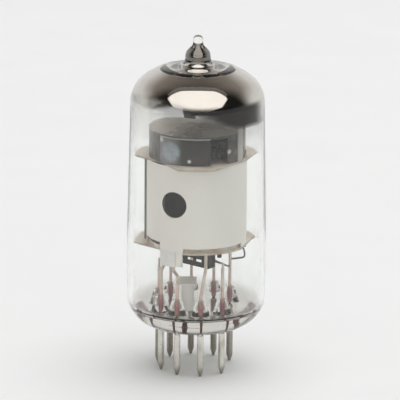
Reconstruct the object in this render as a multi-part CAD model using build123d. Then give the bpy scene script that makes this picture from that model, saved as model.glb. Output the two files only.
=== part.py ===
from build123d import *
import os
from math import acos, asin, cos, degrees, radians, sin, sqrt

# A nine-pin miniature radio tube: a low-noise pentode with its own screen can, in a clear
# glass bulb on a pressed-glass button stem. Millimetres. The origin is on the tube's axis in
# the plane of the pin tips, +Z runs up to the exhaust tip, and +X points to the gap that the
# missing tenth pin leaves. Polar angles are in degrees about +Z, from +X towards +Y.

# ---- Base: nine pins on ten places ----
pin_count = 9
pin_places = 10
pin_circle_diameter = 11.89
pin_diameter = 1.016
pin_reach = 7.0  # pin tip to the underside of the glass
pin_point_length = 1.1
pin_point_diameter = 0.36
pin_root_depth = 0.8  # how far a pin's slimmer root goes up into the glass
pin_root_diameter = 0.7
pin_edge_margin = 0.35  # glass left outside the pins on the flat underside

# ---- Button stem ----
stem_thickness = 3.0
bead_diameter = 2.8
bead_top_diameter = 1.8
bead_height = 2.4
bead_taper = 1.0  # length of the tapered upper end of a bead
seal_diameter = 0.6
inner_corner = 1.2  # bevel where the stem's top meets the inside of the bulb

# ---- Bulb ----
bulb_diameter = 21.7
bulb_height = 46.1  # underside of the glass to the top of the exhaust tip
bulb_wall = 0.95
base_curve_radius = 5.2
straight_height = 9.7  # the straight stretch that a screening can grips
shoulder_drop = 10.6  # exhaust tip down to the start of the shoulder
shoulder_narrowing = 0.45  # how far the outside draws in, and the wall thins, up to the shoulder
knuckle_radius = 5.1
crown_radius = 15.0
rim_radius = 5.65  # where the crown gives way to a shallow dish
dish_radius = 4.3  # the crease ring round the exhaust tip
dish_rise = 0.2

# ---- Exhaust tip ----
knob_diameter = 3.9
knob_wall = 0.55
knob_height = 2.0  # crease ring up to where the knob starts to close
knob_root_flare = 0.8
neck_diameter = 1.56
neck_drop = 1.35  # exhaust tip's top down to the foot of the neck
cavity_top_drop = 1.5  # exhaust tip's top down to the end of the cavity

# ---- Getter ----
getter_ring_diameter = 4.6
getter_ring_width = 0.6
getter_ring_height = 0.5
getter_rise = 7.0  # upper mica up to the getter ring
getter_strip_width = 1.4
getter_strip_angle = 340.0
getter_arm_diameter = 0.4

# ---- Micas and electrode cage ----
mica_thickness = 0.3
lower_mica_rise = 13.2  # underside of the glass up to the lower mica
cage_height = 13.4  # between the two micas
mica_flat_distance = 8.0
mica_glass_gap = 0.05
mica_flat_angles = (60.0, 150.0, 240.0, 330.0)
sheet = 0.2
rod_overhang = 1.6  # how far rods stand out past each mica
cage_angle = 330.0  # the direction of the row of grid rods

# ---- Screen can ----
can_diameter = 15.6
can_window_diameter = 4.1
can_window_rise = 7.4  # lower edge of the can up to the window's centre
can_window_angle = 254.2
can_seam_angle = 188.0
can_seam_height = 0.4
can_lug_width = 2.0
can_lug_length = 0.7
can_lug_angles = (15.0, 105.0)
strip_start_angle = 257.4
strip_end_angle = 265.2
strip_length = 2.3
strap_start_angle = 234.9
strap_end_angle = 256.4
strap_drop = 2.5  # how far the strap plate hangs below the can
strap_lap = 1.5  # how far it laps up inside the can

# ---- Upper screen cap ----
cap_diameter = 15.0
cap_height = 4.5
cap_joint_start_angle = 234.0
cap_joint_end_angle = 296.0
cap_joint_height = 4.1
cap_joint_margin = 0.1
cap_opening_end_angle = 319.0  # the opening runs on from the end of the joint's plate
cap_opening_height = 4.1

# ---- Electrodes ----
cathode_diameter = 1.1
cathode_wall = 0.1
heater_wire = 0.3
heater_leg_spacing = 0.46
heater_pins = (4, 5)
rod_diameter = 0.7
grid_wire = 0.12
control_grid_span = 4.0
control_grid_depth = 2.0
control_grid_turns = 6
screen_grid_span = 6.8
screen_grid_depth = 3.4
screen_grid_turns = 5
suppressor_grid_span = 9.4
suppressor_grid_depth = 4.8
suppressor_grid_turns = 4
anode_width = 11.2
anode_depth = 6.8
anode_mica_gap = 1.0
anode_lug_width = 1.2
anode_lug_offset = 2.4

# ---- Leads and small screens below the cage ----
lead_diameter = 0.5
lead_bend = 0.6
tie_diameter = 0.3
tie_run = 1.0  # length of the level and upright ends of the screen grid's tie
screen_lead_height = 18.6
grid_lead_height = 17.3
heater_lead_height = 16.2
anode_lead_height = 17.4
screen_tie_height = 15.7
cathode_tie_height = 19.0
cathode_tie_diameter = 0.4
tail_height = 16.8
tail_angle = 10.0
tail_start_length = 1.0
tail_reach = 8.0
tail_low_angle = 27.0
tail_high_angle = 29.0
tail_low_rise = 0.5
tail_high_rise = 1.75
tail_return = 6.5
tail_return_angle = 22.0
tail_return_rise = 2.5
bracket_height = 2.7
bracket_return = 1.6
bracket_start = 0.1
bracket_offset = 3.3  # its outer face from the cage's middle plane
bracket_lead_along = 5.0
bracket_slot_length = 1.2
bracket_slot_height = 0.45
bracket_slot_rise = 0.75
bracket_slot_places = (1.5, 3.2)  # each slot's middle along the bracket
stem_shield_diameter = 2.0
stem_shield_wall = 0.15
stem_shield_height = 4.6
stem_shield_gap = 0.75  # between it and the nearest bead
stem_shield_angle = 254.0
flap_length = 4.4
flap_width = 2.7
flap_angle = 281.0
flap_shift = 0.3

# ---- Derived places ----
pin_circle = pin_circle_diameter / 2
pin_radius = pin_diameter / 2
pitch_angle = 360 / pin_places
glass_bottom = pin_reach
stem_top = glass_bottom + stem_thickness
bead_top = stem_top + bead_height
pin_root = glass_bottom + pin_root_depth
foot_radius = pin_circle + pin_radius + pin_edge_margin
barrel_radius = bulb_diameter / 2
bore_radius = barrel_radius - bulb_wall
base_centre_radius = barrel_radius - base_curve_radius
base_curve_height = sqrt(base_curve_radius**2 - (foot_radius - base_centre_radius) ** 2)
barrel_bottom = glass_bottom + base_curve_height
barrel_top = barrel_bottom + straight_height
tip_top = glass_bottom + bulb_height
shoulder_bottom = tip_top - shoulder_drop
dome_wall = bulb_wall - shoulder_narrowing
knuckle_centre_radius = barrel_radius - shoulder_narrowing - knuckle_radius
centre_distance = crown_radius - knuckle_radius
knuckle_sweep = degrees(acos(knuckle_centre_radius / centre_distance))
crown_centre = shoulder_bottom - sqrt(centre_distance**2 - knuckle_centre_radius**2)
crown_sweep = degrees(acos(rim_radius / crown_radius)) - knuckle_sweep
dish_height = crown_centre + sqrt(crown_radius**2 - rim_radius**2) + dish_rise
knob_radius = knob_diameter / 2
neck_radius = neck_diameter / 2
knob_top = dish_height + knob_height
neck_bottom = tip_top - neck_drop
neck_top = tip_top - neck_radius
cavity_top = tip_top - cavity_top_drop
seam_radius = bore_radius - inner_corner
lower_mica_bottom = glass_bottom + lower_mica_rise
lower_mica_top = lower_mica_bottom + mica_thickness
upper_mica_bottom = lower_mica_top + cage_height
upper_mica_top = upper_mica_bottom + mica_thickness
can_radius = can_diameter / 2
can_bore = can_radius - sheet
cap_radius = cap_diameter / 2
rod_radius = rod_diameter / 2
lead_radius = lead_diameter / 2
stem_shield_radius = stem_shield_diameter / 2
stem_shield_place_radius = pin_circle - bead_diameter / 2 - stem_shield_gap - stem_shield_radius
rod_bottom = lower_mica_bottom - rod_overhang
rod_top = upper_mica_top + rod_overhang


STANDING = (Align.CENTER, Align.CENTER, Align.MIN)
pin_numbers = range(1, pin_count + 1)


def polar(radius, angle, height=0.0):
    """A point at a polar angle about the tube's axis."""
    return Vector(radius * cos(radians(angle)), radius * sin(radians(angle)), height)


def caged(along, across, height=0.0):
    """A point in the cage's own directions: along the row of rods, and across it."""
    return polar(along, cage_angle, height) + polar(across, cage_angle - 90)


def tube(outer_radius, inner_radius, bottom, height):
    """An upright round tube."""
    return Pos(0, 0, bottom) * extrude(Circle(outer_radius) - Circle(inner_radius), height)


def sector(outer_radius, inner_radius, start_angle, end_angle, bottom, height):
    """A curved upright plate: the part of a tube between two polar angles."""
    far_out = 2 * outer_radius
    middle = (start_angle + end_angle) / 2
    wedge = Polyline(
        (0, 0),
        polar(far_out, start_angle),
        polar(far_out, middle),
        polar(far_out, end_angle),
        close=True,
    )
    ring = Circle(outer_radius) - Circle(inner_radius)
    return Pos(0, 0, bottom) * extrude(ring & make_face(wedge), height)


def wire(diameter, *points):
    """A round wire bent sharply from one straight run to the next."""
    path = Polyline(*points)
    section = Plane(origin=path @ 0, z_dir=path % 0) * Circle(diameter / 2)
    return sweep(section, path=path, transition=Transition.RIGHT)


def dome(inset):
    """The round shoulder and the flatter crown above it, set in from the outside."""
    knuckle_centre = (knuckle_centre_radius, shoulder_bottom)
    return [
        CenterArc(knuckle_centre, knuckle_radius - inset, 0, knuckle_sweep),
        CenterArc((0, crown_centre), crown_radius - inset, knuckle_sweep, crown_sweep),
    ]


def outer_tip(start):
    """The outside from the crown's rim over the crease ring, knob and neck to the axis."""
    waist = ((knob_radius + neck_radius) / 2, (knob_top + neck_bottom) / 2)
    return [
        Polyline(
            start,
            (dish_radius, dish_height),
            (knob_radius + knob_root_flare, dish_height),
            (knob_radius, dish_height + knob_root_flare),
            (knob_radius, knob_top),
        ),
        TangentArc((knob_radius, knob_top), waist, tangent=(0, 1)),
        TangentArc((neck_radius, neck_bottom), waist, tangent=(0, -1)),
        Line((neck_radius, neck_bottom), (neck_radius, neck_top)),
        CenterArc((0, neck_top), neck_radius, 0, 90),
    ]


def inner_tip(start):
    """The inside from the crown's rim up into the hollow knob."""
    radius = knob_radius - knob_wall
    ceiling = dish_height - dome_wall
    return Polyline(
        start,
        (dish_radius, ceiling),
        (radius + knob_root_flare, ceiling),
        (radius, ceiling + knob_root_flare),
        (radius, knob_top),
        (0, cavity_top),
        (0, tip_top),
    )


def turned(edges):
    """A solid of revolution about the tube's axis from a closed (radius, height) profile."""
    return revolve(Plane.XZ * make_face(Curve() + edges), Axis.Z)


def base_angle_at(radius):
    """The angle on the rounded lower edge at a radius, about that edge's own centre."""
    return 360 - degrees(acos((radius - base_centre_radius) / base_curve_radius))


def base_curve(start_radius, end_radius):
    """Part of the arc that rounds the flat underside up into the barrel."""
    start = base_angle_at(start_radius)
    end = base_angle_at(end_radius)
    return CenterArc((base_centre_radius, barrel_bottom), base_curve_radius, start, end - start)


def glass_bulb():
    """The blown envelope, from its seal on the stem up to the closed exhaust tip."""
    base = base_curve(seam_radius, barrel_radius)
    outer_knuckle, outer_crown = dome(0)
    inner_knuckle, inner_crown = dome(dome_wall)
    outside = Polyline(base @ 1, (barrel_radius, barrel_top), outer_knuckle @ 0)
    inside = Polyline(
        base @ 0,
        (seam_radius, stem_top),
        (bore_radius, stem_top + inner_corner),
        inner_knuckle @ 0,
    )
    return turned(
        [
            base,
            outside,
            outer_knuckle,
            outer_crown,
            *outer_tip(outer_crown @ 1),
            inside,
            inner_knuckle,
            inner_crown,
            inner_tip(inner_crown @ 1),
        ]
    )


def button_stem():
    """The pressed glass button, with a bead of glass drawn up round each lead."""
    edge = base_curve(foot_radius, seam_radius)
    rest = Polyline(edge @ 1, (seam_radius, stem_top), (0, stem_top), (0, glass_bottom), edge @ 0)
    button = turned([edge, rest])
    bead = Cylinder(bead_diameter / 2, bead_height - bead_taper, align=STANDING)
    taper = Cone(bead_diameter / 2, bead_top_diameter / 2, bead_taper, align=STANDING)
    bead += Pos(0, 0, bead_height - bead_taper) * taper
    root_hole = Cylinder(pin_root_diameter / 2, pin_root_depth, align=STANDING)
    seal_hole = Cylinder(seal_diameter / 2, bead_top - pin_root, align=STANDING)
    places = [polar(pin_circle, number * pitch_angle) for number in pin_numbers]
    for place in places:
        button += Pos(place.X, place.Y, stem_top) * bead
    for place in places:
        button -= Pos(place.X, place.Y, glass_bottom) * root_hole
        button -= Pos(place.X, place.Y, pin_root) * seal_hole
    return button


def pin(number):
    """A contact pin: a tapered point, a straight shank and a slimmer root in the glass."""
    place = polar(pin_circle, number * pitch_angle)
    point = Cone(pin_point_diameter / 2, pin_radius, pin_point_length, align=STANDING)
    shank = Cylinder(pin_radius, pin_reach - pin_point_length, align=STANDING)
    root = Cylinder(pin_root_diameter / 2, pin_root_depth, align=STANDING)
    whole = point + Pos(0, 0, pin_point_length) * shank + Pos(0, 0, pin_reach) * root
    return Pos(place.X, place.Y, 0) * whole


def seal(number):
    """The copper-clad wire that the glass seals to, from the pin's root to the bead's top."""
    place = polar(pin_circle, number * pitch_angle)
    stub = Cylinder(seal_diameter / 2, bead_top - pin_root, align=STANDING)
    return Pos(place.X, place.Y, pin_root) * stub


def block(length, width, height, place, angle):
    """An upright block standing on a place, its length turned to a polar angle."""
    return Pos(*place) * (Rot(0, 0, angle) * Box(length, width, height, align=STANDING))


def rod_places():
    """Where each grid's two side rods pass through the micas."""
    spans = (control_grid_span, screen_grid_span, suppressor_grid_span)
    return [caged(side * span / 2, 0) for span in spans for side in (-1, 1)]


def anode_lug_places():
    """Where the anode's lugs pass through each mica, one on each broad side."""
    across = (anode_depth - sheet) / 2
    return [caged(-side * anode_lug_offset, side * across) for side in (-1, 1)]


def mica(bottom):
    """A stamped mica: four lugs reach the glass, and flats between them clear it."""
    lug_radius = bore_radius - mica_glass_gap
    outline = Circle(lug_radius)
    for angle in mica_flat_angles:
        waste = Pos(mica_flat_distance + lug_radius, 0) * Rectangle(2 * lug_radius, 4 * lug_radius)
        outline -= Rot(0, 0, angle) * waste
    outline -= Circle(cathode_diameter / 2)
    for place in rod_places():
        outline -= Pos(place.X, place.Y) * Circle(rod_radius)
    slot = Rot(0, 0, cage_angle) * Rectangle(anode_lug_width, sheet)
    for place in anode_lug_places():
        outline -= Pos(place.X, place.Y) * slot
    plate = Pos(0, 0, bottom) * extrude(outline, mica_thickness)
    for angle in can_lug_angles:
        plate -= can_lug(angle, bottom, mica_thickness)
    return plate


def can_lug(angle, bottom, height):
    """A short upright lug of the can's own sheet, centred on a polar angle."""
    half = degrees(asin(can_lug_width / 2 / can_radius))
    return sector(can_radius, can_bore, angle - half, angle + half, bottom, height)


def lower_mica():
    """The lower mica, notched for the can's strip and strap and drilled for one lead."""
    plate = mica(lower_mica_bottom)
    notch = sector(
        barrel_radius,
        can_bore - sheet,
        strap_start_angle,
        strip_end_angle,
        lower_mica_bottom,
        mica_thickness,
    )
    place = shield_lead_place()
    hole = Cylinder(lead_radius, mica_thickness, align=STANDING)
    return plate - notch - Pos(place.X, place.Y, lower_mica_bottom) * hole


def upper_mica():
    """The upper mica, between the can and its cap."""
    return mica(upper_mica_bottom)


def screen_can():
    """The round screen can, with its window, side seam, locking lugs and connecting strip."""
    can = tube(can_radius, can_bore, lower_mica_top, cage_height)
    seam = block(
        can_seam_height + sheet,
        2 * sheet,
        cage_height,
        polar(can_radius + (can_seam_height - sheet) / 2, can_seam_angle, lower_mica_top),
        can_seam_angle,
    )
    can += seam
    drill = Rot(0, 90, 0) * Cylinder(can_window_diameter / 2, 2 * can_radius, align=STANDING)
    can -= Pos(0, 0, lower_mica_top + can_window_rise) * (Rot(0, 0, can_window_angle) * drill)
    reach = mica_thickness + can_lug_length
    for angle in can_lug_angles:
        can += can_lug(angle, lower_mica_top - reach, reach)
        can += can_lug(angle, upper_mica_bottom, reach)
    strip = sector(
        can_radius,
        can_bore,
        strip_start_angle,
        strip_end_angle,
        lower_mica_top - strip_length,
        strip_length,
    )
    return can + strip


def shield_strap():
    """The plate welded inside the can's lower edge, which carries the can's lead."""
    return sector(
        can_bore,
        can_bore - sheet,
        strap_start_angle,
        strap_end_angle,
        lower_mica_top - strap_drop,
        strap_drop + strap_lap,
    )


def screen_cap():
    """The inverted cup over the tops of the electrodes, open for a stretch of its side."""
    wall = tube(cap_radius, cap_radius - sheet, upper_mica_top, cap_height - sheet)
    roof = Pos(0, 0, upper_mica_top + cap_height - sheet) * extrude(Circle(cap_radius), sheet)
    opening = sector(
        cap_radius + sheet,
        cap_radius - 2 * sheet,
        cap_joint_end_angle,
        cap_opening_end_angle,
        upper_mica_top,
        cap_opening_height,
    )
    return wall + roof - opening


def cap_joint():
    """The plate welded over the joint in the cap's side."""
    return sector(
        cap_radius + sheet,
        cap_radius,
        cap_joint_start_angle,
        cap_joint_end_angle,
        upper_mica_top + cap_joint_margin,
        cap_joint_height,
    )


def getter_ring():
    """The open channel ring that held the getter metal, on the axis under the dome."""
    radius = getter_ring_diameter / 2
    bottom = upper_mica_top + getter_rise
    return tube(radius, radius - getter_ring_width, bottom, getter_ring_height)


def getter_strip():
    """The strip that rises from the upper mica outside the cap and carries the getter."""
    half = degrees(asin(getter_strip_width / 2 / cap_radius))
    return sector(
        cap_radius + sheet,
        cap_radius,
        getter_strip_angle - half,
        getter_strip_angle + half,
        upper_mica_top,
        getter_rise + getter_ring_height,
    )


def getter_arm():
    """The wire from the strip's upper end across to the getter ring."""
    height = upper_mica_top + getter_rise + getter_ring_height / 2
    return wire(
        getter_arm_diameter,
        polar(getter_ring_diameter / 2, getter_strip_angle, height),
        polar(cap_radius, getter_strip_angle, height),
    )


def cathode_sleeve():
    """The nickel sleeve that carries the emitting coating."""
    radius = cathode_diameter / 2
    return tube(radius, radius - cathode_wall, rod_bottom, rod_top - rod_bottom)


def heater():
    """The coated hairpin: up one side of the sleeve, over, down, and out to its two leads."""
    leg = heater_leg_spacing / 2
    over = rod_top - lead_bend
    under = rod_bottom - lead_bend
    low = (heater_lead_height + under) / 2
    first, second = [polar(pin_circle, number * pitch_angle) for number in heater_pins]
    lift = Vector(0, 0, 1)
    return wire(
        heater_wire,
        first + lift * heater_lead_height,
        first + lift * low,
        caged(0, -leg, under),
        caged(0, -leg, over),
        caged(0, leg, over),
        caged(0, leg, under),
        second + lift * low,
        second + lift * heater_lead_height,
    )


def grid(span, depth, turns):
    """Two side rods with turns of wire swaged across them."""
    rods = Part()
    for side in (-1, 1):
        place = caged(side * span / 2, 0, rod_bottom)
        rods += Pos(*place) * Cylinder(rod_radius, rod_top - rod_bottom, align=STANDING)
    corner = depth / 2 - rod_radius / 2
    inner = chamfer(Rectangle(span + rod_radius, depth - grid_wire).vertices(), corner)
    outer = chamfer(
        Rectangle(span + rod_radius + 2 * grid_wire, depth + grid_wire).vertices(), corner
    )
    turn = extrude(Rot(0, 0, cage_angle) * (outer - inner), grid_wire)
    pitch = (cage_height - 2 * anode_mica_gap) / turns
    for number in range(turns):
        height = lower_mica_top + anode_mica_gap + (number + 0.5) * pitch
        rods += Pos(0, 0, height) * turn
    return rods


def anode():
    """The blackened oval anode, with a lug at each end of one broad side and of the other."""
    bottom = lower_mica_top + anode_mica_gap
    height = cage_height - 2 * anode_mica_gap
    oval = SlotOverall(anode_width, anode_depth)
    bore = SlotOverall(anode_width - 2 * sheet, anode_depth - 2 * sheet)
    plate = Pos(0, 0, bottom) * extrude(Rot(0, 0, cage_angle) * (oval - bore), height)
    for place in anode_lug_places():
        foot = Vector(place.X, place.Y, rod_bottom)
        plate += block(anode_lug_width, sheet, rod_top - rod_bottom, foot, cage_angle)
    return plate


def shield_lead_place():
    """Where pin 2's lead rises through the lower mica along the inside of the can."""
    return polar(can_bore - lead_radius, 2 * pitch_angle)


def straight_lead(number, top):
    """An upright lead standing on its seal."""
    place = polar(pin_circle, number * pitch_angle, bead_top)
    return Pos(*place) * Cylinder(lead_radius, top - bead_top, align=STANDING)


def bent_lead(number, knee_height, place, upright_height, top):
    """A lead that stands on its seal, slants from its knee to a place and rises to its weld."""
    foot = polar(pin_circle, number * pitch_angle, bead_top)
    knee = polar(pin_circle, number * pitch_angle, knee_height)
    upright = place + Vector(0, 0, upright_height)
    return wire(lead_diameter, foot, knee, upright, place + Vector(0, 0, top))


def leads():
    """The nine inner leads, by pin number."""
    shield = shield_lead_place()
    strap = polar(can_bore - sheet - lead_radius, 7 * pitch_angle)
    lug = caged(-anode_lug_offset, anode_depth / 2 + lead_radius)
    bracket = caged(bracket_lead_along, bracket_offset + lead_radius)
    near_mica = lower_mica_bottom - tie_diameter
    above_mica = lower_mica_top + strap_lap
    return {
        1: straight_lead(1, screen_lead_height),
        2: bent_lead(2, anode_lead_height, shield, screen_lead_height, above_mica),
        3: straight_lead(3, cathode_tie_height + lead_radius),
        4: straight_lead(4, heater_lead_height),
        5: straight_lead(5, heater_lead_height),
        6: bent_lead(6, heater_lead_height, lug, screen_lead_height, near_mica),
        7: bent_lead(7, heater_lead_height, strap, anode_lead_height, near_mica),
        8: bent_lead(8, bead_top + lead_bend, bracket, anode_lead_height, near_mica),
        9: straight_lead(9, grid_lead_height),
    }


def cathode_tie():
    """The wire from pin 3's lead to the side of the cathode sleeve."""
    lead = polar(pin_circle, 3 * pitch_angle, cathode_tie_height)
    sleeve = Vector(0, 0, cathode_tie_height)
    inward = (sleeve - lead).normalized()
    return wire(
        cathode_tie_diameter,
        lead + inward * lead_radius,
        sleeve - inward * (cathode_diameter / 2),
    )


def screen_grid_tie():
    """The slanting wire from pin 1's lead up to the end of the screen grid's rod."""
    lead = polar(pin_circle, pitch_angle, screen_tie_height)
    rod = caged(screen_grid_span / 2, 0, rod_bottom)
    level_rod = Vector(rod.X, rod.Y, screen_tie_height)
    inward = (level_rod - lead).normalized()
    start = lead + inward * lead_radius
    return wire(
        tie_diameter,
        start,
        start + inward * tie_run,
        rod - Vector(0, 0, tie_run),
        rod,
    )


def control_grid_tie():
    """The thin wire from pin 9's lead, past the outer rods, to the control grid's rod."""
    lead = polar(pin_circle, 9 * pitch_angle, grid_lead_height)
    rod = caged(control_grid_span / 2, 0, rod_bottom)
    row = caged(1, 0)
    beside = lead + row * (control_grid_span / 2 - lead.dot(row))
    rise = Vector(0, 0, (rod_bottom - grid_lead_height) / 2)
    return wire(tie_diameter, lead, lead + rise, beside + rise, rod - rise, rod)


def suppressor_tie():
    """The short wire from the suppressor grid's rod to the inside of the lower bracket."""
    height = (rod_bottom + lower_mica_bottom) / 2
    along = suppressor_grid_span / 2
    return wire(
        tie_diameter,
        caged(along, rod_radius, height),
        caged(along, bracket_offset - sheet, height),
    )


def screen_wire_tail():
    """The tail of pin 1's wire, curled out beside the lead and up against the mica."""
    lead = polar(pin_circle, pitch_angle, tail_height)
    outward = polar(1, tail_angle)
    start = lead + outward * lead_radius
    return wire(
        tie_diameter,
        start,
        start + outward * tail_start_length,
        polar(tail_reach, tail_low_angle, tail_height + tail_low_rise),
        polar(tail_reach, tail_high_angle, tail_height + tail_high_rise),
        polar(tail_return, tail_return_angle, tail_height + tail_return_rise),
        polar(tail_return, tail_return_angle, lower_mica_bottom),
    )


def lower_bracket():
    """The blackened angle bracket under the mica that ties the suppressor grid to pin 8."""
    bottom = lower_mica_bottom - bracket_height
    end = suppressor_grid_span / 2 + rod_radius + sheet
    length = end - bracket_start
    front = block(
        length,
        sheet,
        bracket_height,
        caged(bracket_start + length / 2, bracket_offset - sheet / 2, bottom),
        cage_angle,
    )
    side = block(
        sheet,
        bracket_return,
        bracket_height,
        caged(end - sheet / 2, bracket_offset - bracket_return / 2, bottom),
        cage_angle,
    )
    bracket = front + side
    for along in bracket_slot_places:
        height = bottom + bracket_slot_rise
        place = caged(bracket_start + along, bracket_offset - sheet / 2, height)
        bracket -= block(bracket_slot_length, 2 * sheet, bracket_slot_height, place, cage_angle)
    return bracket


def stem_shield():
    """The small screening tube that stands on the stem, with a broad flap over its top."""
    place = polar(stem_shield_place_radius, stem_shield_angle, stem_top)
    ring = Circle(stem_shield_radius) - Circle(stem_shield_radius - stem_shield_wall)
    body = Pos(*place) * extrude(ring, stem_shield_height)
    middle = place + polar(flap_shift, flap_angle, stem_shield_height)
    return body + block(flap_length, flap_width, stem_shield_wall, middle, flap_angle)


def write(node, shape):
    """Write one sub-part to its own file."""
    export_step(shape, f"parts/{node}.step")


os.makedirs("parts", exist_ok=True)
write("glass_bulb", glass_bulb())
write("button_stem", button_stem())
for number in pin_numbers:
    write(f"pin_{number}", pin(number))
    write(f"seal_{number}", seal(number))
for number, lead in leads().items():
    write(f"lead_{number}", lead)
write("lower_mica", lower_mica())
write("upper_mica", upper_mica())
write("screen_can", screen_can())
write("shield_strap", shield_strap())
write("screen_cap", screen_cap())
write("cap_joint", cap_joint())
write("getter_ring", getter_ring())
write("getter_strip", getter_strip())
write("getter_arm", getter_arm())
write("cathode_sleeve", cathode_sleeve())
write("heater", heater())
write("control_grid", grid(control_grid_span, control_grid_depth, control_grid_turns))
write("screen_grid", grid(screen_grid_span, screen_grid_depth, screen_grid_turns))
write("suppressor_grid", grid(suppressor_grid_span, suppressor_grid_depth, suppressor_grid_turns))
write("anode", anode())
write("cathode_tie", cathode_tie())
write("screen_grid_tie", screen_grid_tie())
write("control_grid_tie", control_grid_tie())
write("suppressor_tie", suppressor_tie())
write("screen_wire_tail", screen_wire_tail())
write("lower_bracket", lower_bracket())
write("stem_shield", stem_shield())
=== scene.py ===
import math

import bmesh
import bpy
from mathutils import Matrix, Vector


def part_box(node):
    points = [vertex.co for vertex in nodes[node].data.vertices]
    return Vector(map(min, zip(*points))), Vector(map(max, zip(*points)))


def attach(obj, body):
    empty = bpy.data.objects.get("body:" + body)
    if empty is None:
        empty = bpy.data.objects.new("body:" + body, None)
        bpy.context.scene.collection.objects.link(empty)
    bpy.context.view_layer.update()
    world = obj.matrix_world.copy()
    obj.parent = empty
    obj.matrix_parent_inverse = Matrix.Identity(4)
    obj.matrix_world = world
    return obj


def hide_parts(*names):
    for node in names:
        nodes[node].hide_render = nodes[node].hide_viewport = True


# A nine-pin miniature radio tube standing on its pins on a pale studio floor. The glass, the
# getter's mirror film and ring, the pins, the seal wires, the micas, the can and two fine wires are
# made here. The other sheet metal and wires are the CAD pieces, which get their materials here.
# Lengths are in metres, in the CAD's frame, and polar angles are in degrees about its axis.

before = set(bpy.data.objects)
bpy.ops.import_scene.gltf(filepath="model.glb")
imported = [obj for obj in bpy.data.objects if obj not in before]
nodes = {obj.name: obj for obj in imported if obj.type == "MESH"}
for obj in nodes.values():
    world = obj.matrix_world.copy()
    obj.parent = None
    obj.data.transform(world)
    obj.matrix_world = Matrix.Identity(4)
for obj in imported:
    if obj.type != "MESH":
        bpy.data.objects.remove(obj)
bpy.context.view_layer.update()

MM = 0.001
ROUND_STEPS = 144  # facets round the glass
FLOOR_STEPS = 360  # facets round the inside of the glass, fine enough for the beads
WIRE_STEPS = 20

# ---- Places read from the frame ----
bulb_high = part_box("glass_bulb")[1]
stem_low, stem_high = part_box("button_stem")
pin_low, pin_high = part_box("pin_5")
can_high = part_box("screen_can")[1]
cap_low, cap_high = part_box("screen_cap")
lower_mica_low, lower_mica_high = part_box("lower_mica")
barrel_radius = bulb_high.y
tip_top = bulb_high.z
glass_bottom = stem_low.z
bead_top = stem_high.z
pin_numbers = range(1, 10)
back_pins = range(1, 6)
pin_radius = (pin_high.x - pin_low.x) / 2
pin_circle = -(pin_high.x + pin_low.x) / 2

can_radius = can_high.y
cap_radius = cap_high.x
lug_radius = barrel_radius - 1.0 * MM

# ---- Sizes of the glass, repeated from the design ----
stem_top = glass_bottom + 3.0 * MM
foot_radius = pin_circle + pin_radius + 0.35 * MM
bulb_wall = 0.95 * MM
bore_radius = barrel_radius - bulb_wall
base_radius = 5.2 * MM
barrel_bottom = glass_bottom + 5.07 * MM
barrel_top = barrel_bottom + 9.7 * MM
inner_corner = 1.2 * MM
shoulder_bottom = tip_top - 10.6 * MM
narrowing = 0.45 * MM
dome_wall = bulb_wall - narrowing
knuckle_radius = 5.1 * MM
crown_radius = 15.0 * MM
rim_radius = 5.65 * MM
dish_radius = 4.3 * MM
dish_rise = 0.2 * MM
inner_drop = 0.35 * MM  # the dome's inside lies this much lower, since its top is thicker
crease_drop = 0.25 * MM  # and the crease ring's inside lower still
knuckle_centre_radius = barrel_radius - narrowing - knuckle_radius
centre_distance = crown_radius - knuckle_radius
knuckle_sweep = math.acos(knuckle_centre_radius / centre_distance)
crown_centre = shoulder_bottom - math.sqrt(centre_distance**2 - knuckle_centre_radius**2)
crown_end = math.acos(rim_radius / crown_radius)
dish_height = crown_centre + math.sqrt(crown_radius**2 - rim_radius**2) + dish_rise
cavity_top = tip_top - 1.5 * MM


# ---- Shapes ----
def arc(centre_r, centre_z, radius, start, end, steps):
    """Points of a round arc in the (radius, height) plane, both ends included."""
    turn = [start + (end - start) * k / steps for k in range(steps + 1)]
    return [(centre_r + radius * math.cos(a), centre_z + radius * math.sin(a)) for a in turn]


def straight(start, end, steps):
    """Points of a straight line, without its start."""
    share = [k / steps for k in range(1, steps + 1)]
    return [tuple(a + (b - a) * s for a, b in zip(start, end)) for s in share]


def flowing(points, steps):
    """A smooth curve through a few points, a uniform Catmull-Rom spline, without its start."""
    ends = [points[0]] + list(points) + [points[-1]]
    curve = []
    for before, start, end, after in zip(ends, ends[1:], ends[2:], ends[3:]):
        for k in range(1, steps + 1):
            t = k / steps
            curve.append(tuple(
                0.5 * (2 * p1 + (p2 - p0) * t + (2 * p0 - 5 * p1 + 4 * p2 - p3) * t**2
                       + (3 * p1 - p0 - 3 * p2 + p3) * t**3)
                for p0, p1, p2, p3 in zip(before, start, end, after)
            ))
    return curve


def turned_faces(profile, steps, offset=0, inward=False, lift=None):
    """Vertices and faces of a profile turned about the tube's axis. It starts and ends on it."""
    vertices = [(0.0, 0.0, profile[0][1])]
    for radius, height in profile[1:-1]:
        for k in range(steps):
            angle = 2 * math.pi * k / steps
            x, y = radius * math.cos(angle), radius * math.sin(angle)
            vertices.append((x, y, height if lift is None else lift(x, y, height)))
    vertices.append((0.0, 0.0, profile[-1][1]))
    last = len(vertices) - 1
    rings = len(profile) - 2
    faces = []
    for k in range(steps):
        after = (k + 1) % steps
        faces.append((0, 1 + after, 1 + k))
        for ring in range(rings - 1):
            low, high = 1 + ring * steps, 1 + (ring + 1) * steps
            faces.append((low + k, low + after, high + after, high + k))
        top = 1 + (rings - 1) * steps
        faces.append((last, top + k, top + after))
    if inward:
        faces = [tuple(reversed(face)) for face in faces]
    return vertices, [tuple(i + offset for i in face) for face in faces]


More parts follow.
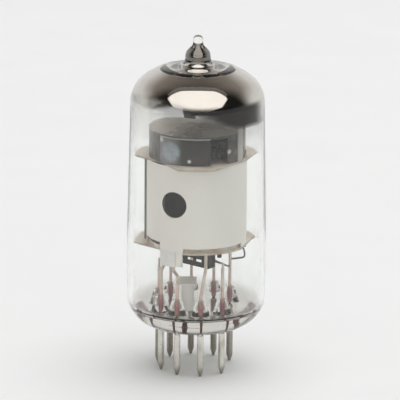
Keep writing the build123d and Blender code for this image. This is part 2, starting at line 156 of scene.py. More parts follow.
def piece(name, vertices, faces, material, slot, replaces=()):
    """A finished mesh object that rides on the tube and stands for the CAD nodes it replaces."""
    mesh = bpy.data.meshes.new(name)
    mesh.from_pydata(vertices, [], faces)
    mesh.validate()
    mesh.shade_smooth()
    mesh.materials.append(material)
    made = bpy.data.objects.new(name, mesh)
    bpy.context.scene.collection.objects.link(made)
    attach(made, "root")
    for node in replaces:
        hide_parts(node)
    return made


def turned(name, profiles, steps, material, slot, replaces=(), lifts=None):
    """One object from turned profiles: the first is its outside, any other an inside."""
    vertices, faces = [], []
    for number, profile in enumerate(profiles):
        lift = lifts[number] if lifts else None
        more, more_faces = turned_faces(profile, steps, len(vertices), number > 0, lift)
        vertices += more
        faces += more_faces
    return piece(name, vertices, faces, material, slot, replaces)


def polar(radius, angle, height=0.0):
    """A point at a polar angle about the tube's axis."""
    turn = math.radians(angle)
    return Vector((radius * math.cos(turn), radius * math.sin(turn), height))


def pin_place(number):
    """Where a numbered pin stands, ten places to the circle."""
    return polar(pin_circle, 36 * number)


def round_piece(name, profile, steps, number, material, slot, node):
    """A turned piece that stands at a numbered pin's place."""
    place = pin_place(number)
    vertices, faces = turned_faces(profile, steps)
    moved = [(x + place.x, y + place.y, z) for x, y, z in vertices]
    return piece(name, moved, faces, material, slot, (node,))


def smooth_step(low, high, value):
    """0 below low and 1 above high, eased between them."""
    share = min(1.0, max(0.0, (value - low) / (high - low)))
    return share * share * (3 - 2 * share)


# ---- Where the getter's film ends, where painted reflections lie, and where the can's seam and the getter's tab are ----
BARE_SIDE = 235.0  # the polar angle where the film stops highest
DARK_REFLECTION_SIDE = 300.0  # and the one where its foot is painted black, a painted reflection of a dark room
FILM_EDGE = 40.6 * MM
FILM_LIFT = 4.2 * MM
HAZE_FOOT = 34.5 * MM
HAZE_TOP = 43.5 * MM
HAZE_ALPHA = 0.22
SEAM_SIDE = 188.0  # the can's folded seam
TAB_AND_BLUE_REFLECTION_SIDE = 249.0  # the plate's painted blue reflection, and the getter's tab above it


# ---- Node materials ----
def new_material(name):
    """A material with its node tree and its main shader."""
    material = bpy.data.materials.new(name)
    material.use_nodes = True
    tree = material.node_tree
    return material, tree, tree.nodes["Principled BSDF"]


def add(tree, kind, **values):
    """A node with its properties or its inputs set by name."""
    node = tree.nodes.new(kind)
    for key, value in values.items():
        if hasattr(node, key):
            setattr(node, key, value)
        else:
            node.inputs[key.replace("_", " ")].default_value = value
    return node


def noise(tree, scale, detail=4.0, stretch=(1, 1, 1)):
    """Noise in the object's own coordinates, about `scale` features to the metre."""
    place = add(tree, "ShaderNodeTexCoord")
    mapping = add(tree, "ShaderNodeMapping", Scale=stretch)
    texture = add(tree, "ShaderNodeTexNoise", Scale=scale, Detail=detail)
    tree.links.new(place.outputs["Object"], mapping.inputs["Vector"])
    tree.links.new(mapping.outputs["Vector"], texture.inputs["Vector"])
    return texture.outputs["Fac"]


def ramp(tree, source, stops):
    """A colour ramp over a value: (position, colour) stops."""
    node = add(tree, "ShaderNodeValToRGB")
    while len(node.color_ramp.elements) < len(stops):
        node.color_ramp.elements.new(0.5)
    for element, (position, colour) in zip(node.color_ramp.elements, stops):
        element.position = position
        element.color = (*colour, 1.0)
    tree.links.new(source, node.inputs["Fac"])
    return node.outputs["Color"]


def spread(tree, source, low, high):
    """A value between low and high that follows noise, most of which lies from 0.3 to 0.7."""
    node = add(tree, "ShaderNodeMapRange")
    node.inputs["From Min"].default_value = 0.3
    node.inputs["From Max"].default_value = 0.7
    node.inputs["To Min"].default_value = low
    node.inputs["To Max"].default_value = high
    tree.links.new(source, node.inputs["Value"])
    return node.outputs["Result"]


def bump(tree, source, strength, distance):
    """A normal tilted by a value's slopes."""
    node = add(tree, "ShaderNodeBump", Strength=strength, Distance=distance)
    tree.links.new(source, node.inputs["Height"])
    return node.outputs["Normal"]


def place_on(tree):
    """A point's own place on the tube, in metres."""
    return add(tree, "ShaderNodeTexCoord").outputs["Object"]


def height_of(tree):
    """The height up the tube, in metres."""
    parts = add(tree, "ShaderNodeSeparateXYZ")
    tree.links.new(place_on(tree), parts.inputs["Vector"])
    return parts.outputs["Z"]


def toward_angle(tree, angle):
    """How far a point lies out from the axis towards a polar angle, in metres."""
    turn = math.radians(angle)
    along = add(tree, "ShaderNodeVectorMath", operation="DOT_PRODUCT")
    along.inputs[1].default_value = (math.cos(turn), math.sin(turn), 0)
    tree.links.new(place_on(tree), along.inputs[0])
    return along.outputs["Value"]


def radius_of(tree):
    """The distance from the tube's axis, in metres."""
    level = add(tree, "ShaderNodeVectorMath", operation="MULTIPLY")
    level.inputs[1].default_value = (1, 1, 0)
    tree.links.new(place_on(tree), level.inputs[0])
    length = add(tree, "ShaderNodeVectorMath", operation="LENGTH")
    tree.links.new(level.outputs["Vector"], length.inputs[0])
    return length.outputs["Value"]


def fade(tree, source, start, end):
    """0 at start and 1 at end, eased between them."""
    node = add(tree, "ShaderNodeMapRange", interpolation_type="SMOOTHSTEP")
    rising = end > start
    node.inputs["From Min"].default_value = start if rising else end
    node.inputs["From Max"].default_value = end if rising else start
    node.inputs["To Min"].default_value = 0.0 if rising else 1.0
    node.inputs["To Max"].default_value = 1.0 if rising else 0.0
    tree.links.new(source, node.inputs["Value"])
    return node.outputs["Result"]


def near(tree, point, reach):
    """1 at a point on the tube, fading to 0 at a distance from it."""
    away = add(tree, "ShaderNodeVectorMath", operation="DISTANCE")
    away.inputs[1].default_value = tuple(point)
    tree.links.new(place_on(tree), away.inputs[0])
    return fade(tree, away.outputs["Value"], reach, reach * 0.55)


def compute(tree, operation, first, second):
    """A maths node over two values, each a link or a number."""
    node = add(tree, "ShaderNodeMath", operation=operation)
    for socket, value in zip(node.inputs, (first, second)):
        if isinstance(value, (int, float)):
            socket.default_value = value
        else:
            tree.links.new(value, socket)
    return node.outputs["Value"]


def blend(tree, share, first, second):
    """A colour between two, each a link or a constant."""
    node = add(tree, "ShaderNodeMix", data_type="RGBA")
    tree.links.new(share, node.inputs["Factor"])
    colour_sockets = (node.inputs[6], node.inputs[7])
    for socket, value in zip(colour_sockets, (first, second)):
        if isinstance(value, tuple):
            socket.default_value = (*value, 1.0)
        else:
            tree.links.new(value, socket)
    return node.outputs[2]


def sheet_metal(name, dark, light, rough, metallic=1.0, grain=900, stretch=(1, 1, 1), relief=0.06):
    """Metal whose colour, roughness and surface drift gently across it."""
    material, tree, shader = new_material(name)
    cloud = noise(tree, grain / 6, 3.0, stretch)
    fine = noise(tree, grain * 4, 5.0, stretch)
    tree.links.new(ramp(tree, cloud, ((0.3, dark), (0.7, light))), shader.inputs["Base Color"])
    tree.links.new(spread(tree, cloud, rough * 0.85, rough * 1.15), shader.inputs["Roughness"])
    tree.links.new(bump(tree, fine, relief, 0.02 * MM), shader.inputs["Normal"])
    shader.inputs["Metallic"].default_value = metallic
    return material


def lit_through(tree, shader, tint):
    """Lets lamps shine through a clear material, as they do through real thin glass."""
    path = add(tree, "ShaderNodeLightPath")
    clear = add(tree, "ShaderNodeBsdfTransparent", Color=(*tint, 1.0))
    mix = add(tree, "ShaderNodeMixShader")
    tree.links.new(path.outputs["Is Shadow Ray"], mix.inputs["Fac"])
    tree.links.new(shader.outputs["BSDF"], mix.inputs[1])
    tree.links.new(clear.outputs["BSDF"], mix.inputs[2])
    tree.links.new(mix.outputs["Shader"], tree.nodes["Material Output"].inputs["Surface"])


def clear_glass():
    """Clear blown glass, very slightly wavy, and greyer where it is pressed thick round the pins."""
    material, tree, shader = new_material("clear_glass")
    pressed = fade(tree, height_of(tree), stem_top + 2.2 * MM, stem_top + 0.2 * MM)
    tone = blend(tree, pressed, (0.985, 0.995, 0.985), (0.68, 0.665, 0.63))
    tree.links.new(tone, shader.inputs["Base Color"])
    shader.inputs["Roughness"].default_value = 0.0
    shader.inputs["IOR"].default_value = 1.5
    shader.inputs["Transmission Weight"].default_value = 1.0
    wave = noise(tree, 260, 2.0, (1, 1, 0.35))
    tree.links.new(bump(tree, wave, 0.06, 0.05 * MM), shader.inputs["Normal"])
    lit_through(tree, shader, (0.97, 0.98, 0.97))
    return material


def getter_film():
    """The flashed getter: a dark mirror that thins out to a haze down the inside of the dome."""
    material, tree, shader = new_material("getter_film")
    height = height_of(tree)
    front = compute(tree, "MULTIPLY", toward_angle(tree, BARE_SIDE), 1 / bore_radius)
    lift = compute(tree, "POWER", compute(tree, "MAXIMUM", front, 0.0), 1.5)
    edge = compute(tree, "ADD", compute(tree, "MULTIPLY", lift, FILM_LIFT), FILM_EDGE)
    ragged = compute(tree, "MULTIPLY", noise(tree, 330, 3.0), 1.0 * MM)
    above = compute(tree, "SUBTRACT", compute(tree, "ADD", height, ragged), edge)
    dense = fade(tree, above, -0.5 * MM, 1.2 * MM)
    haze = compute(tree, "MULTIPLY", fade(tree, height, HAZE_FOOT, HAZE_TOP), HAZE_ALPHA)
    clear_tip = fade(tree, height, tip_top - 1.55 * MM, tip_top - 1.8 * MM)
    alpha = compute(tree, "MULTIPLY", compute(tree, "MAXIMUM", dense, haze), clear_tip)
    tree.links.new(alpha, shader.inputs["Alpha"])
    cloud = noise(tree, 240, 3.0)
    bright = ramp(tree, cloud, ((0.3, (0.60, 0.57, 0.54)), (0.7, (0.68, 0.65, 0.62))))
    # painted reflection: the film's foot is painted near black on one side, for the dark room its
    # mirror shows there
    foot = fade(tree, height, 44.0 * MM, 43.2 * MM)
    dark_reflection_side = fade(tree, toward_angle(tree, DARK_REFLECTION_SIDE), 5.0 * MM, 7.8 * MM)
    painted_dark_reflection = compute(tree, "MULTIPLY", foot, dark_reflection_side)
    tone = blend(tree, painted_dark_reflection, bright, (0.02, 0.018, 0.016))
    knob = fade(tree, height, dish_height + 0.2 * MM, dish_height + 0.9 * MM)
    tone = blend(tree, knob, tone, (0.20, 0.185, 0.17))
    tree.links.new(tone, shader.inputs["Base Color"])
    shader.inputs["Metallic"].default_value = 1.0
    shader.inputs["Roughness"].default_value = 0.04
    return material


def can_metal():
    """Pale satin nickel, warmer at the left and greener at the right, with painted shade on the
    seam's fold.
    """
    material, tree, shader = new_material("can_metal")
    cloud = noise(tree, 130, 3.0)
    warm = ramp(tree, cloud, ((0.3, (0.90, 0.85, 0.79)), (0.7, (0.94, 0.90, 0.85))))
    cool = ramp(tree, cloud, ((0.3, (0.86, 0.835, 0.78)), (0.7, (0.90, 0.88, 0.83))))
    right_side = fade(tree, toward_angle(tree, 330), -2.0 * MM, 7.5 * MM)
    tone = blend(tree, right_side, warm, cool)
    # painted shade: the seam's fold is painted near black
    outward = toward_angle(tree, SEAM_SIDE)
    fold_shade = fade(tree, outward, can_radius + 0.01 * MM, can_radius + 0.12 * MM)
    tone = blend(tree, fold_shade, tone, (0.13, 0.125, 0.115))
    tree.links.new(tone, shader.inputs["Base Color"])
    tree.links.new(spread(tree, cloud, 0.36, 0.48), shader.inputs["Roughness"])
    grain = noise(tree, 3600, 5.0, (1, 1, 0.2))
    tree.links.new(bump(tree, grain, 0.05, 0.02 * MM), shader.inputs["Normal"])
    shader.inputs["Metallic"].default_value = 0.4
    return material


def plate_metal():
    """The dark plate on the cap, with a painted blue reflection, painted light at its left end, a
    painted highlight along its top edge and two painted glints.
    """
    material, tree, shader = new_material("plate_metal")
    cloud = noise(tree, 900, 4.0)
    dark = ramp(tree, cloud, ((0.3, (0.014, 0.012, 0.010)), (0.7, (0.032, 0.028, 0.025))))
    # painted reflection: a patch of blue light painted on the plate round the tab's side
    blue_reflection = ramp(tree, noise(tree, 1500, 4.0), (
        (0.3, (0.22, 0.26, 0.38)), (0.5, (0.40, 0.52, 0.60)), (0.7, (0.54, 0.67, 0.72))))
    blue_reflection_centre = polar(cap_radius, TAB_AND_BLUE_REFLECTION_SIDE, cap_low.z + 2.0 * MM)
    tone = blend(tree, near(tree, blue_reflection_centre, 1.9 * MM), dark, blue_reflection)
    # painted light: the plate is painted paler towards its left end
    pale = ramp(tree, cloud, ((0.3, (0.30, 0.30, 0.31)), (0.7, (0.46, 0.46, 0.48))))
    left_end = fade(tree, toward_angle(tree, 234), 6.6 * MM, 7.4 * MM)
    tone = blend(tree, compute(tree, "MULTIPLY", left_end, 0.6), tone, pale)
    # painted highlight along the plate's top edge
    top_edge = fade(tree, height_of(tree), cap_high.z - 0.5 * MM, cap_high.z - 0.32 * MM)
    tone = blend(tree, top_edge, tone, (0.62, 0.60, 0.57))
    # painted highlights: two pale glints on the plate
    painted_glints = compute(
        tree,
        "MAXIMUM",
        near(tree, polar(cap_radius, 272, cap_low.z + 0.75 * MM), 0.42 * MM),
        near(tree, polar(cap_radius, 236, cap_low.z + 3.7 * MM), 0.55 * MM),
    )
    tone = blend(tree, painted_glints, tone, (0.78, 0.77, 0.74))
    tree.links.new(tone, shader.inputs["Base Color"])
    tree.links.new(spread(tree, cloud, 0.34, 0.5), shader.inputs["Roughness"])
    tree.links.new(bump(tree, cloud, 0.15, 0.03 * MM), shader.inputs["Normal"])
    shader.inputs["Metallic"].default_value = 0.15
    return material


def cap_metal():
    """Nickel with painted light and shade: a roof painted pale and paler at the left, a side painted
    dark with a weld's dimple, and an inside painted black.
    """
    material, tree, shader = new_material("cap_metal")
    cloud = noise(tree, 300, 4.0)
    # painted light and shade: the roof is painted pale, paler at its left and darker at its right
    pale = ramp(tree, cloud, ((0.3, (0.38, 0.34, 0.30)), (0.7, (0.47, 0.425, 0.38))))
    painted_shade = ramp(tree, cloud, ((0.3, (0.11, 0.098, 0.08)), (0.7, (0.17, 0.152, 0.127))))
    roof = blend(tree, fade(tree, toward_angle(tree, 350), -2.5 * MM, 1.5 * MM), pale, painted_shade)
    # painted shade: the side is painted dark and its inside black
    outside = ramp(tree, cloud, ((0.3, (0.05, 0.045, 0.036)), (0.7, (0.09, 0.082, 0.066))))
    inside = fade(tree, radius_of(tree), cap_radius - 0.1 * MM, cap_radius - 0.14 * MM)
    side = blend(tree, inside, outside, (0.012, 0.010, 0.008))
    on_roof = fade(tree, height_of(tree), cap_high.z - 0.12 * MM, cap_high.z - 0.02 * MM)
    dimple = near(tree, polar(cap_radius, 321, cap_low.z + 1.9 * MM), 0.45 * MM)
    tone = blend(tree, dimple, blend(tree, on_roof, side, roof), (0.62, 0.60, 0.58))
    tree.links.new(tone, shader.inputs["Base Color"])
    tree.links.new(spread(tree, cloud, 0.2, 0.34), shader.inputs["Roughness"])
    tree.links.new(bump(tree, dimple, 0.6, 0.1 * MM), shader.inputs["Normal"])
    shader.inputs["Metallic"].default_value = 0.25
    return material


def mica_sheet():
    """Translucent mica under a dusting of insulating powder, with faint layers and flecks."""
    material, tree, shader = new_material("mica_sheet")
    cloud = noise(tree, 420, 5.0)
    tone = ramp(tree, cloud, (
        (0.3, (0.58, 0.45, 0.34)), (0.5, (0.74, 0.63, 0.52)), (0.7, (0.83, 0.77, 0.69))))
    tree.links.new(tone, shader.inputs["Base Color"])
    tree.links.new(spread(tree, cloud, 0.28, 0.46), shader.inputs["Roughness"])
    layers = noise(tree, 2600, 4.0, (1, 1, 3))
    tree.links.new(bump(tree, layers, 0.12, 0.02 * MM), shader.inputs["Normal"])
    shader.inputs["Transmission Weight"].default_value = 0.3
    return material


def sealed_copper():
    """Copper that the glass wets: dark at the pin's root, pinkish red up through the bead."""
    material, tree, shader = new_material("sealed_copper")
    cloud = noise(tree, 900, 4.0, (1, 1, 0.3))
    red = ramp(tree, cloud, ((0.3, (0.42, 0.13, 0.14)), (0.7, (0.64, 0.27, 0.27))))
    height = height_of(tree)
    low = fade(tree, height, stem_top + 0.6 * MM, stem_top - 0.6 * MM)
    tone = blend(tree, low, red, (0.12, 0.055, 0.05))
    top = fade(tree, height, bead_top - 0.9 * MM, bead_top)
    tone = blend(tree, top, tone, (0.50, 0.34, 0.30))
    tree.links.new(tone, shader.inputs["Base Color"])
    tree.links.new(spread(tree, cloud, 0.4, 0.6), shader.inputs["Roughness"])
    tree.links.new(bump(tree, cloud, 0.1, 0.03 * MM), shader.inputs["Normal"])
    return material


def pin_metal(name, painted_shade):
    """Nickel with draw marks, darker and browner towards the point. The second argument is the least
    share of that darkening: painted shade, for the pins at the back.
    """
    material, tree, shader = new_material(name)
    cloud = noise(tree, 700, 5.0, (1, 1, 0.4))
    marks = noise(tree, 5200, 3.0, (1, 1, 0.06))
    bright = ramp(tree, cloud, (
        (0.3, (0.42, 0.395, 0.34)), (0.5, (0.66, 0.645, 0.59)), (0.7, (0.80, 0.79, 0.74))))
    point_darkening = compute(tree, "MULTIPLY", fade(tree, height_of(tree), 1.9 * MM, 0.3 * MM), 0.7)
    darkening = compute(tree, "MAXIMUM", point_darkening, painted_shade)
    tone = blend(tree, darkening, bright, (0.27, 0.245, 0.20))
    tree.links.new(tone, shader.inputs["Base Color"])
    tree.links.new(spread(tree, cloud, 0.36, 0.2), shader.inputs["Roughness"])
    tree.links.new(bump(tree, marks, 0.2, 0.02 * MM), shader.inputs["Normal"])
    shader.inputs["Metallic"].default_value = 1.0
    return material


def lead_wire():
    """Satin nickel wire that takes on copper's pink just above its bead."""
    material, tree, shader = new_material("lead_wire")
    cloud = noise(tree, 1400, 4.0, (1, 1, 0.4))
    nickel = ramp(tree, cloud, ((0.3, (0.52, 0.45, 0.385)), (0.7, (0.80, 0.72, 0.65))))
    pink = fade(tree, height_of(tree), bead_top + 2.6 * MM, bead_top + 0.2 * MM)
    tone = blend(tree, pink, nickel, (0.78, 0.56, 0.50))
    tree.links.new(tone, shader.inputs["Base Color"])
    tree.links.new(spread(tree, cloud, 0.3, 0.45), shader.inputs["Roughness"])
    tree.links.new(bump(tree, cloud, 0.1, 0.02 * MM), shader.inputs["Normal"])
    shader.inputs["Metallic"].default_value = 0.7
    return material


def studio_floor():
    """Seamless pale paper with a barely visible tooth."""
    material, tree, shader = new_material("studio_floor")
    cloud = noise(tree, 60, 3.0)
    tone = ramp(tree, cloud, ((0.3, (0.86, 0.86, 0.86)), (0.7, (0.875, 0.875, 0.875))))
    tree.links.new(tone, shader.inputs["Base Color"])
    shader.inputs["Roughness"].default_value = 0.85
    shader.inputs["Specular IOR Level"].default_value = 0.2
    return material


# ---- Glass and its film ----
bead_reach = 1.55 * MM
bead_flat = 0.55 * MM


def bead_lift(x, y, height):
    """Raises the stem's top into a drawn-up bead of glass round each lead."""
    if height > stem_top + 0.01 * MM:
        return height
    share = 0.0
    for number in pin_numbers:
        place = pin_place(number)
        distance = math.hypot(x - place.x, y - place.y)
        if distance < bead_reach:
            share = max(share, 1 - smooth_step(bead_flat, bead_reach, distance))
    return height + (bead_top - stem_top) * share**0.8


def dome(inset, drop, steps):
    """The shoulder's knuckle and the flatter crown, set in from the outside."""
    centre = (knuckle_centre_radius, shoulder_bottom - drop)
    knuckle = arc(*centre, knuckle_radius - inset, 0, knuckle_sweep, steps)
    crown_low = crown_centre - drop
    crown = arc(0, crown_low, crown_radius - inset, knuckle_sweep, crown_end, steps // 2)
    return knuckle + crown[1:]


def tip_curve(start, inset, drop):
    """From the crown's rim over the crease ring and up the knob, as far as its waist."""
    rise = dish_height - inset
    shape = [
        start,
        (dish_radius + 0.5 * MM, rise - drop - 0.05 * MM),
        (dish_radius - 0.4 * MM, rise - drop),
        (3.0 * MM - inset, rise + 0.08 * MM),
        (2.35 * MM - inset, rise + 0.42 * MM),
        (2.03 * MM - inset, rise + 1.0 * MM),
        (1.95 * MM - inset, rise + 1.6 * MM),
        (1.86 * MM - inset, rise + 2.15 * MM),
        (1.5 * MM - inset, rise + 2.7 * MM),
    ]
    return flowing(shape, 6)


def outer_profile():
    """The outside of the glass, from the middle of its underside up to the exhaust tip."""
    centre_r = barrel_radius - base_radius
    low = -math.acos((foot_radius - centre_r) / base_radius)
    base = arc(centre_r, barrel_bottom, base_radius, low, 0, 16)
    profile = [(0, glass_bottom)] + straight((0, glass_bottom), base[0], 8) + base[1:]
    profile += straight(base[-1], (barrel_radius, barrel_top), 6)
    outside = dome(0, 0, 24)
    profile += straight(profile[-1], outside[0], 12) + outside[1:]
    profile += tip_curve(outside[-1], 0, 0)
    neck = [
        profile[-1],
        (1.02 * MM, tip_top - 1.75 * MM),
        (0.8 * MM, tip_top - 1.3 * MM),
        (0.76 * MM, tip_top - 0.85 * MM),
        (0.70 * MM, tip_top - 0.42 * MM),
        (0.45 * MM, tip_top - 0.1 * MM),
        (0, tip_top),
    ]
    return profile + flowing(neck, 6)


def inner_profile(inset):
    """The inside of the glass above the stem, from the bore's foot to the top of the cavity."""
    inside = dome(dome_wall + inset, inner_drop, 24)
    radius = bore_radius - inset
    profile = straight((radius, stem_top + inner_corner), inside[0], 24) + inside[1:]
    profile += tip_curve(inside[-1], dome_wall + inset, inner_drop + crease_drop)
    top = [
        profile[-1],
        (0.62 * MM, cavity_top - 0.55 * MM),
        (0.28 * MM, cavity_top - 0.1 * MM - inset),
        (0, cavity_top - inset),
    ]
    return profile + flowing(top, 5)


def cavity_profile():
    """The whole inside: the stem's top, its rounded corner, the bore and the dome."""
    edge = bore_radius - inner_corner
    beads_start = pin_circle - 1.8 * MM
    beads_end = pin_circle + 1.8 * MM
    floor = [(0, stem_top)] + straight((0, stem_top), (beads_start, stem_top), 6)
    floor += straight((beads_start, stem_top), (beads_end, stem_top), 40)
    floor += straight((beads_end, stem_top), (edge, stem_top), 3)
    corner = arc(edge, stem_top + inner_corner, inner_corner, -math.pi / 2, 0, 8)
    return floor + corner[1:] + inner_profile(0)


turned(
    "glass_envelope",
    [outer_profile(), cavity_profile()],
    FLOOR_STEPS,
    clear_glass(),
    "glass",
    ("glass_bulb", "button_stem"),
    (None, bead_lift),
)

FILM_INSET = -0.06 * MM  # below zero, so just within the glass: the real film has no gap behind it
FILM_SKIN = 0.03 * MM
FILM_FOOT = 34.4 * MM


def film_profile():
    """Down the film's outside from its top and up its inside, a thin closed skin when turned."""
    outside = [p for p in inner_profile(FILM_INSET) if p[1] > FILM_FOOT]
    inside = [p for p in inner_profile(FILM_INSET + FILM_SKIN) if p[1] > FILM_FOOT]
    return outside[::-1] + inside


film_vertices, film_faces = turned_faces(film_profile(), ROUND_STEPS, inward=True)
film = piece("getter_film", film_vertices, film_faces, getter_film(), "getter_metal")
film.visible_shadow = False  # its shadow would leave the cap's roof darker than the real one


# ---- Pins ----
def pin_profile():
    """A pin with a rounded, tapered point and a softened shoulder."""
    length = glass_bottom - pin_low.z
    root_radius = pin_radius * 0.69
    root_top = length + 0.78 * MM
    tip = [
        (0, 0),
        (0.1 * MM, 0.012 * MM),
        (0.17 * MM, 0.07 * MM),
        (0.235 * MM, 0.22 * MM),
        (0.4 * MM, 0.72 * MM),
        (0.485 * MM, 0.98 * MM),
        (pin_radius, 1.22 * MM),
    ]
    curve = [tip[0]] + flowing(tip, 4)
    curve += straight(curve[-1], (pin_radius, length), 10)
    return curve + [(root_radius, length + 0.02 * MM), (root_radius, root_top), (0, root_top)]


# painted shade: the back pins get a darker copy of the pin metal
bright_pin = pin_metal("pin_metal", 0.0)
shaded_pin = pin_metal("shaded_pin_metal", 0.8)
for number in pin_numbers:
    metal = shaded_pin if number in back_pins else bright_pin
    name, node = f"contact_{number}", f"pin_{number}"
    round_piece(name, pin_profile(), 40, number, metal, "pin_nickel", node)


# ---- Seal wires ----
def seal_profile():
    """A seal wire: thin from the pin's root up to the stem's top, then thicker in its bead."""
    root = glass_bottom + 0.8 * MM
    shape = [
        (0.17 * MM, root),
        (0.17 * MM, stem_top - 0.5 * MM),
        (0.24 * MM, stem_top + 0.1 * MM),
        (0.27 * MM, stem_top + 0.9 * MM),
        (0.26 * MM, bead_top - 0.3 * MM),
        (0.25 * MM, bead_top),
    ]
    return [(0, root), shape[0]] + flowing(shape, 4) + [(0, bead_top)]


copper = sealed_copper()
for number in pin_numbers:
    name, node = f"seal_wire_{number}", f"seal_{number}"
    round_piece(name, seal_profile(), 24, number, copper, "seal_copper", node)


# ---- Micas ----
def plate_outline(arcs, spacing=3):
    """A closed outline of round stretches, (radius, start, end) each, joined by straight edges."""
    outline = []
    for radius, start, end in arcs:
        steps = max(2, round(abs(end - start) / spacing))
        outline += [polar(radius, start + (end - start) * k / steps) for k in range(steps + 1)]
    return outline


def prism(outline, low, high):
    """Vertices and faces of an upright prism over an outline."""
    count = len(outline)
    vertices = [(p.x, p.y, low) for p in outline] + [(p.x, p.y, high) for p in outline]
    faces = [tuple(reversed(range(count))), tuple(range(count, 2 * count))]
    for k in range(count):
        after = (k + 1) % count
        faces.append((k, after, count + after, count + k))
    return vertices, faces


def soften(made, width, segments=2):
    """Flat faces with a small bevel along the sharp edges."""
    made.data.shade_flat()
    bevel = made.modifiers.new("edges", "BEVEL")
    bevel.width = width
    bevel.segments = segments
    bevel.limit_method = "ANGLE"
    bevel.angle_limit = math.radians(40)


inside_can = can_radius - 0.5 * MM
waist_radius = can_radius + 0.2 * MM
lower_heel = 8.75 * MM  # where the right lug of each mica turns back towards the can
upper_heel = 8.7 * MM
back_arcs = ((waist_radius, 60, 80), (lug_radius, 96, 120), (waist_radius, 134, 152))
lower_arcs = (
    (lower_heel, 17, 18), (lug_radius, 24, 42), *back_arcs, (lug_radius, 165, 197),
    (inside_can, 236, 265.5), (waist_radius, 266, 340),
)
upper_arcs = (
    (upper_heel, 12, 13), (lug_radius, 22, 42), *back_arcs, (lug_radius, 164, 193),
    (inside_can, 226, 236), (lug_radius, 264, 296), (waist_radius, 344, 350),
)
mica = mica_sheet()
for name, node, arcs in (
    ("lower_spacer", "lower_mica", lower_arcs),
    ("upper_spacer", "upper_mica", upper_arcs),
):
    low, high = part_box(node)
    made = piece(name, *prism(plate_outline(arcs), low.z, high.z), mica, "mica", (node,))
    soften(made, 0.03 * MM)


def ring_faces(section, steps):
    """Vertices and faces of a closed (radius, height) section carried round the axis."""
    vertices, faces = [], []
    count = len(section)
    for k in range(steps):
        for radius, height in section:
            vertices.append(tuple(polar(radius, 360 * k / steps, height)))
    for k in range(steps):
        for j in range(count):
            after, over = (k + 1) % steps, (j + 1) % count
            faces.append((k * count + j, k * count + over, after * count + over, after * count + j))
    return vertices, faces


collar_bottom = lower_mica_high.z - 0.02 * MM
collar_top = lower_mica_high.z + 0.58 * MM
collar_inner = can_radius - 1.9 * MM
collar_outer = can_radius - 0.32 * MM
collar_section = [
    (collar_inner, collar_top),
    (collar_inner, collar_bottom),
    (collar_outer, collar_bottom),
    (collar_outer, collar_top),
]
collar = piece("mica_collar", *ring_faces(collar_section, 96), mica, "mica")
collar.data.shade_flat()


# ---- Screen can ----
def cut_away(made, cutters):
    """Cuts other objects out of a piece for good, and deletes them."""
    for cutter in cutters:
        cut = made.modifiers.new("cut", "BOOLEAN")
        cut.operation = "DIFFERENCE"
        cut.solver = "EXACT"
        cut.object = cutter
    bpy.context.view_layer.update()
    ready = made.evaluated_get(bpy.context.evaluated_depsgraph_get())
    mesh = bpy.data.meshes.new_from_object(ready)
    made.modifiers.clear()
    made.data = mesh
    for cutter in cutters:
        bpy.data.objects.remove(cutter)


def wedge_block(start, end, low, high):
    """A block that takes away part of the can's wall between two polar angles."""
    arcs = ((can_radius + 1.5 * MM, start, end), (can_radius - 1.2 * MM, end, start))
    vertices, faces = prism(plate_outline(arcs, spacing=5), low, high)
    mesh = bpy.data.meshes.new("wedge")
    mesh.from_pydata(vertices, [], faces)
    made = bpy.data.objects.new("wedge", mesh)
    bpy.context.scene.collection.objects.link(made)
    return made


def copied(node, name, material):
    """A piece made from a CAD node's own mesh, with its seams welded."""
    mesh = nodes[node].data.copy()
    work = bmesh.new()
    work.from_mesh(mesh)
    bmesh.ops.remove_doubles(work, verts=work.verts, dist=0.0001 * MM)
    work.to_mesh(mesh)
    work.free()
    mesh.materials.clear()
    mesh.materials.append(material)
    made = bpy.data.objects.new(name, mesh)
    bpy.context.scene.collection.objects.link(made)
    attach(made, "root")
    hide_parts(node)
    return made


def smooth_by_angle(made):
    """Round walls look smooth and sharp edges stay sharp."""
    made.data.shade_smooth()
    made.data.set_sharp_from_angle(angle=math.radians(30))


can_foot = lower_mica_high.z
can = copied("screen_can", "can_shell", can_metal())
deep, shallow = 1.15 * MM, 0.62 * MM
recesses = ((198, 236, deep), (266, 341, shallow), (20, 70, shallow), (130, 180, deep))
cut_away(can, [
    wedge_block(start, end, can_foot - 0.1 * MM, can_foot + height)
    for start, end, height in recesses
])
smooth_by_angle(can)


# ---- Getter ----
def getter_channel():
    """A ring of channel section, open at the top, with a small tab under its front."""
    ring_low, ring_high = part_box("getter_ring")
    outer = ring_high.x
    inner = outer - 0.6 * MM
    wall = 0.08 * MM
    section = [
        (inner, ring_high.z), (inner, ring_low.z), (outer, ring_low.z), (outer, ring_high.z),
        (outer - wall, ring_high.z), (outer - wall, ring_low.z + wall),
        (inner + wall, ring_low.z + wall), (inner + wall, ring_high.z),
    ]
    vertices, faces = ring_faces(section, 72)
    middle = polar(outer - 0.1 * MM, TAB_AND_BLUE_REFLECTION_SIDE)
    side = polar(1.0 * MM, TAB_AND_BLUE_REFLECTION_SIDE + 90)
    out = polar(0.1 * MM, TAB_AND_BLUE_REFLECTION_SIDE)
    tab = [middle - side - out, middle + side - out, middle + side + out, middle - side + out]
    tab_vertices, tab_faces = prism(tab, ring_low.z - 0.75 * MM, ring_low.z + 0.12 * MM)
    faces += [tuple(i + len(vertices) for i in face) for face in tab_faces]
    return vertices + tab_vertices, faces


ring_metal = sheet_metal("ring_metal", (0.05, 0.047, 0.043), (0.12, 0.11, 0.1), 0.3)
ring = piece("getter_channel", *getter_channel(), ring_metal, "getter_metal", ("getter_ring",))
soften(ring, 0.015 * MM)


